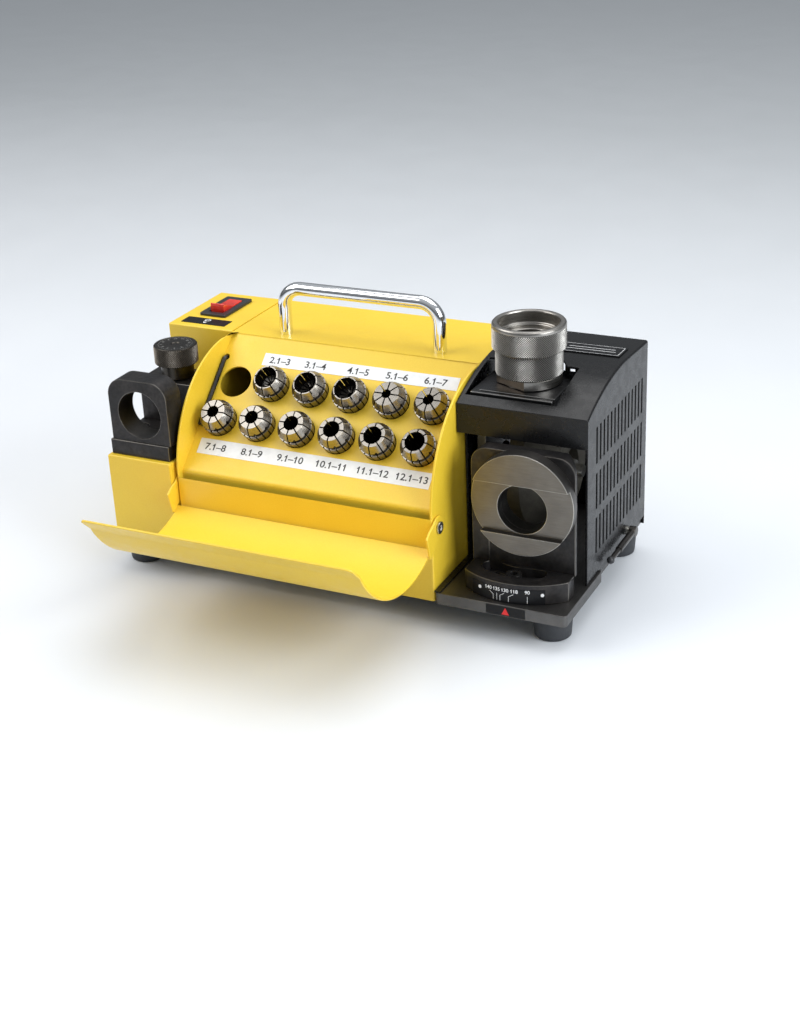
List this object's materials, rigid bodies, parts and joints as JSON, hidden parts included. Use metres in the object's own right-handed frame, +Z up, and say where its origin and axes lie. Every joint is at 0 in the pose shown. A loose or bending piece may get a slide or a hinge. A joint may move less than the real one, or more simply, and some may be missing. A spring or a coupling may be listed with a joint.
{
  "type": "drill bit sharpener",
  "caption": "Bench drill bit sharpener with a sloped collet rack under a flip-down tray lid, a setting gauge, a swivelling point-angle port and a knurled drill chuck.",
  "frame": {"origin": "middle of the bounding box, on the surface that the feet stand on, with the tray lid open", "axes": "+X towards the grinding chamber, +Y towards the back, +Z up"},
  "size_m": [0.3322, 0.2632, 0.1839],
  "materials": {
    "yellow_paint": "fine-textured powder coat",
    "black_paint": "textured powder coat",
    "oxide_steel": "black-oxide machined steel",
    "port_steel": "turned, dull nickel",
    "base_steel": "ground and blackened",
    "knurled_steel": "matt nickel, knurled",
    "collet_steel": "ground spring steel",
    "chrome": "bright chrome plate",
    "zinc": "zinc plate",
    "rubber": "moulded",
    "black_plastic": "moulded",
    "red_plastic": "moulded",
    "label_black": "printed label",
    "label_white": "printed strip",
    "black_steel": "black-oxide screw steel",
    "motor_steel": "enamel",
    "bell_alloy": "cast",
    "magnet": "ferrite",
    "copper": "windings on laminations",
    "wheel_grit": "bonded grit on a steel core",
    "board_green": "circuit board"
  },
  "bodies": {
    "machine": {"base_plate": "base_steel", "feet": "rubber", "foot_screws": "zinc", "switch_housing": "yellow_paint", "main_cover": "yellow_paint", "collet_rack": "yellow_paint", "lid_pivot_screws": "chrome", "carry_handle": "chrome", "handle_nuts": "zinc", "chamber_cover": "black_paint", "cover_screws": "zinc", "switch_frame": "black_plastic", "diameter_plate": "label_black", "power_inlet": "black_plastic", "inlet_screws": "zinc", "gauge_base": "oxide_steel", "gauge_ring": "oxide_steel", "gauge_column": "oxide_steel", "gauge_screws": "black_steel", "swivel_pin": "zinc", "swivel_clamp_screw": "black_steel", "pointer_plate": "label_black", "seat_bracket": "base_steel", "seat_screws": "black_steel", "size_strips": "label_white", "motor_bulkhead": "base_steel", "motor_case": "motor_steel", "motor_end_bells": "bell_alloy", "motor_magnets": "magnet", "motor_bearings": "zinc", "speed_board": "board_green", "lever_bush": "zinc"},
    "lid": {"tray_lid": "yellow_paint"},
    "rocker": {"switch_rocker": "red_plastic"},
    "gauge_dial": {"gauge_knob": "oxide_steel", "gauge_cam": "collet_steel"},
    "angle_block": {"swivel_block": "oxide_steel", "point_port": "port_steel", "angle_scale": "label_black", "scale_rivets": "zinc"},
    "chuck": {"chuck_body": "knurled_steel"},
    "nut": {"chuck_nut": "knurled_steel"},
    "spindle": {"motor_rotor": "copper", "motor_shaft": "zinc", "cooling_fan": "black_plastic", "grinding_wheel": "wheel_grit", "wheel_nut": "zinc"},
    "lever": {"clamp_lever": "knurled_steel"},
    "key": {"hex_key": "black_steel"},
    "collet_3": {"collet_3": "collet_steel"},
    "collet_4": {"collet_4": "collet_steel"},
    "collet_5": {"collet_5": "collet_steel"},
    "collet_6": {"collet_6": "collet_steel"},
    "collet_7": {"collet_7": "collet_steel"},
    "collet_8": {"collet_8": "collet_steel"},
    "collet_9": {"collet_9": "collet_steel"},
    "collet_10": {"collet_10": "collet_steel"},
    "collet_11": {"collet_11": "collet_steel"},
    "collet_12": {"collet_12": "collet_steel"},
    "collet_13": {"collet_13": "collet_steel"}
  },
  "joints": [
    {"name": "lid_hinge", "type": "hinge", "parent": "machine", "child": "lid", "pos_m": [-0.01775, -0.01973, 0.0675], "axis": [1, 0, 0], "range_deg": [-119, 0]},
    {"name": "rocker_tilt", "type": "hinge", "parent": "machine", "child": "rocker", "pos_m": [-0.1376, 0.09737, 0.1475], "axis": [1, 0, 0], "range_deg": [0, 20]},
    {"name": "gauge_turn", "type": "hinge", "parent": "machine", "child": "gauge_dial", "pos_m": [-0.13435, 0.02537, 0.128], "axis": [0, 0, 1], "range_deg": [0, 330]},
    {"name": "block_swivel", "type": "hinge", "parent": "machine", "child": "angle_block", "pos_m": [0.11965, 0.02937, 0.033], "axis": [0, 0, 1], "range_deg": [-14, 11]},
    {"name": "chuck_lift", "type": "slide", "parent": "machine", "child": "chuck", "axis": [0, 0, 1], "range_m": [0, 0.06]},
    {"name": "nut_turn", "type": "hinge", "parent": "chuck", "child": "nut", "pos_m": [0.10705, 0.05347, 0.1711], "axis": [0, 0, 1], "continuous": true},
    {"name": "spindle_spin", "type": "hinge", "parent": "machine", "child": "spindle", "pos_m": [0.10165, 0.06237, 0.0807], "axis": [1, 0, 0], "continuous": true},
    {"name": "lever_turn", "type": "hinge", "parent": "machine", "child": "lever", "pos_m": [0.16365, 0.09137, 0.029], "axis": [1, 0, 0], "range_deg": [-75, 0]},
    {"name": "key_lift", "type": "slide", "parent": "machine", "child": "key", "axis": [0, -0.6691, 0.7431], "range_m": [0, 0.03]},
    {"name": "collet_3_lift", "type": "slide", "parent": "machine", "child": "collet_3", "axis": [0, -0.6691, 0.7431], "range_m": [0, 0.04]},
    {"name": "collet_4_lift", "type": "slide", "parent": "machine", "child": "collet_4", "axis": [0, -0.6691, 0.7431], "range_m": [0, 0.04]},
    {"name": "collet_5_lift", "type": "slide", "parent": "machine", "child": "collet_5", "axis": [0, -0.6691, 0.7431], "range_m": [0, 0.04]},
    {"name": "collet_6_lift", "type": "slide", "parent": "machine", "child": "collet_6", "axis": [0, -0.6691, 0.7431], "range_m": [0, 0.04]},
    {"name": "collet_7_lift", "type": "slide", "parent": "machine", "child": "collet_7", "axis": [0, -0.6691, 0.7431], "range_m": [0, 0.04]},
    {"name": "collet_8_lift", "type": "slide", "parent": "machine", "child": "collet_8", "axis": [0, -0.6691, 0.7431], "range_m": [0, 0.04]},
    {"name": "collet_9_lift", "type": "slide", "parent": "machine", "child": "collet_9", "axis": [0, -0.6691, 0.7431], "range_m": [0, 0.04]},
    {"name": "collet_10_lift", "type": "slide", "parent": "machine", "child": "collet_10", "axis": [0, -0.6691, 0.7431], "range_m": [0, 0.04]},
    {"name": "collet_11_lift", "type": "slide", "parent": "machine", "child": "collet_11", "axis": [0, -0.6691, 0.7431], "range_m": [0, 0.04]},
    {"name": "collet_12_lift", "type": "slide", "parent": "machine", "child": "collet_12", "axis": [0, -0.6691, 0.7431], "range_m": [0, 0.04]},
    {"name": "collet_13_lift", "type": "slide", "parent": "machine", "child": "collet_13", "axis": [0, -0.6691, 0.7431], "range_m": [0, 0.04]}
  ]
}
